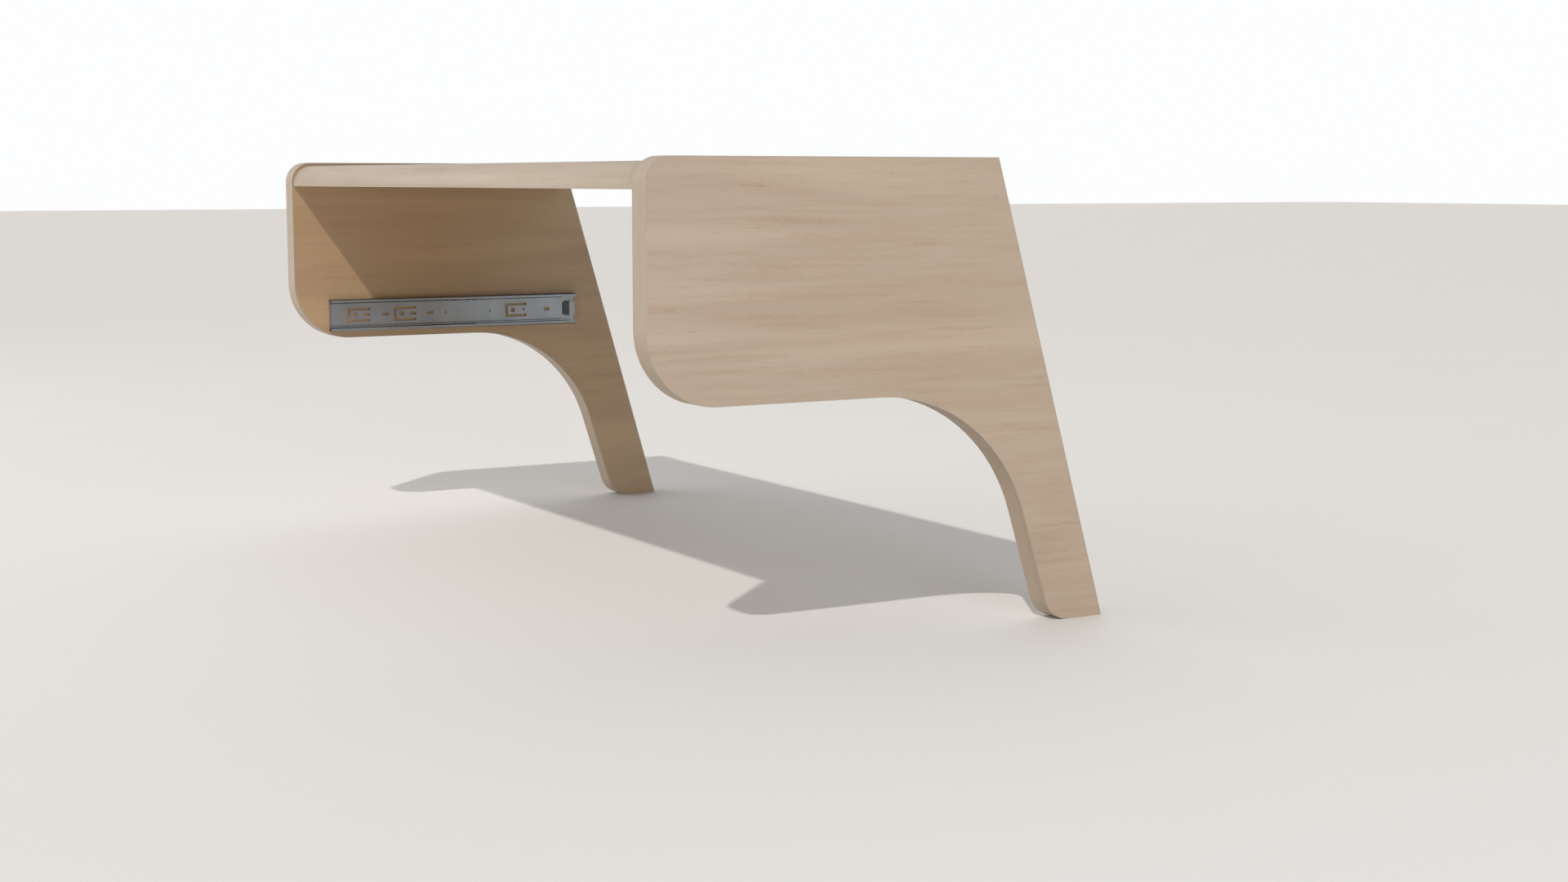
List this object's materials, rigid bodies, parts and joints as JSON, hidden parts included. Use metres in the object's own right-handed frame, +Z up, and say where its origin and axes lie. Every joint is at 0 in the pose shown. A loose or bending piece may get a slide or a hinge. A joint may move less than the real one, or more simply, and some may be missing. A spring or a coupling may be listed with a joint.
{
  "type": "under desk drawer bay",
  "caption": "Maple desktop section with curved side cheeks and ball-bearing drawer runners for an under-desk tray.",
  "frame": {"origin": "bottom centre of the overall box, at the height of the feet", "axes": "+X to the right seen from the front, +Y to the back, +Z up; the drawer runners open towards -Y"},
  "size_m": [1.052, 0.521, 0.467],
  "materials": {
    "maple_panel": "matt lacquered maple veneer",
    "maple_lipping": "matt lacquered solid maple",
    "maple_edge": "matt lacquered maple edge veneer",
    "beech": "bare fluted beech",
    "zinc_plate": "bright zinc-plated sheet steel",
    "zinc_strip": "zinc-plated strip",
    "zinc_hardware": "zinc-plated hardware",
    "ball_steel": "polished ball steel",
    "bumper_rubber": "dark grey moulded rubber"
  },
  "bodies": {
    "case": {"desktop_board": "maple_panel", "desktop_front_lipping": "maple_lipping", "desktop_rear_edge_band": "maple_edge", "left_cheek": "maple_panel", "left_cheek_edge_band": "maple_edge", "left_dowels": "beech", "left_cam_bolts": "zinc_hardware", "left_cam_discs": "zinc_hardware", "left_frame_inserts": "zinc_hardware", "left_cabinet_member": "zinc_plate", "left_rear_bumper": "bumper_rubber", "left_runner_screws": "zinc_hardware", "right_cheek": "maple_panel", "right_cheek_edge_band": "maple_edge", "right_dowels": "beech", "right_cam_bolts": "zinc_hardware", "right_cam_discs": "zinc_hardware", "right_frame_inserts": "zinc_hardware", "right_cabinet_member": "zinc_plate", "right_rear_bumper": "bumper_rubber", "right_runner_screws": "zinc_hardware"},
    "left_rail": {"left_drawer_member": "zinc_plate"},
    "left_cage": {"left_ball_strips": "zinc_strip", "left_balls": "ball_steel"},
    "right_rail": {"right_drawer_member": "zinc_plate"},
    "right_cage": {"right_ball_strips": "zinc_strip", "right_balls": "ball_steel"}
  },
  "joints": [
    {"name": "left_runner_slide", "type": "slide", "parent": "case", "child": "left_rail", "axis": [0, -1, 0], "range_m": [0, 0.25]},
    {"name": "left_cage_slide", "type": "slide", "parent": "case", "child": "left_cage", "axis": [0, -1, 0], "range_m": [0, 0.125]},
    {"name": "right_runner_slide", "type": "slide", "parent": "case", "child": "right_rail", "axis": [0, -1, 0], "range_m": [0, 0.25]},
    {"name": "right_cage_slide", "type": "slide", "parent": "case", "child": "right_cage", "axis": [0, -1, 0], "range_m": [0, 0.125]}
  ],
  "couplings": [
    {"joint": "left_cage_slide", "follows": "left_runner_slide", "ratio": 0.5},
    {"joint": "right_cage_slide", "follows": "right_runner_slide", "ratio": 0.5}
  ]
}
